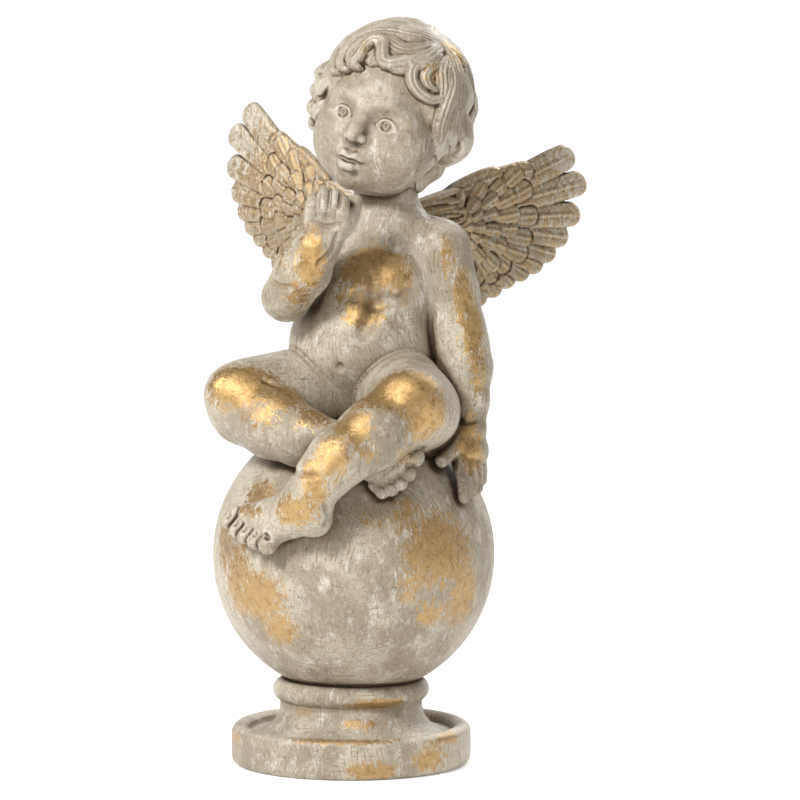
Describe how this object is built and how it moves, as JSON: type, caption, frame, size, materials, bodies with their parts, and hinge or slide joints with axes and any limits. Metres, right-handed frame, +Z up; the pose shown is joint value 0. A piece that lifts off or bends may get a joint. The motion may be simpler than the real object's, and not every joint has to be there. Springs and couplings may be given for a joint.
{
  "type": "angel figurine",
  "caption": "Winged child figurine in distressed painted resin, seated cross-legged on a ball above a round turned plinth.",
  "frame": {"origin": "centre of the underside, where the felt sheet rests", "axes": "+Z up through the plinth and the ball; -Y to the figure's front, the side the crossed shin faces; +X to the figure's left arm"},
  "size_m": [0.1955, 0.1837, 0.3829],
  "materials": {
    "stone_paint": "cast resin, cream and greige stone paint with rubbed gold",
    "gilded_paint": "cast resin, brown and cream paint with more rubbed gold",
    "felt": "pressed felt",
    "steel": "plain steel rod"
  },
  "bodies": {
    "root": {"felt_sheet": "felt", "plinth": "stone_paint", "ball": "stone_paint", "torso": "stone_paint", "head": "stone_paint", "right_arm": "stone_paint", "left_arm": "stone_paint", "right_leg": "stone_paint", "left_leg": "stone_paint", "right_wing": "gilded_paint", "left_wing": "gilded_paint", "ball_dowel": "steel", "seat_dowel_front": "steel", "seat_dowel_rear": "steel", "neck_dowel": "steel", "right_shoulder_dowel": "steel", "left_shoulder_dowel": "steel", "right_hip_dowel": "steel", "left_hip_dowel": "steel", "right_wing_upper_dowel": "steel", "right_wing_lower_dowel": "steel", "left_wing_upper_dowel": "steel", "left_wing_lower_dowel": "steel"}
  },
  "joints": []
}
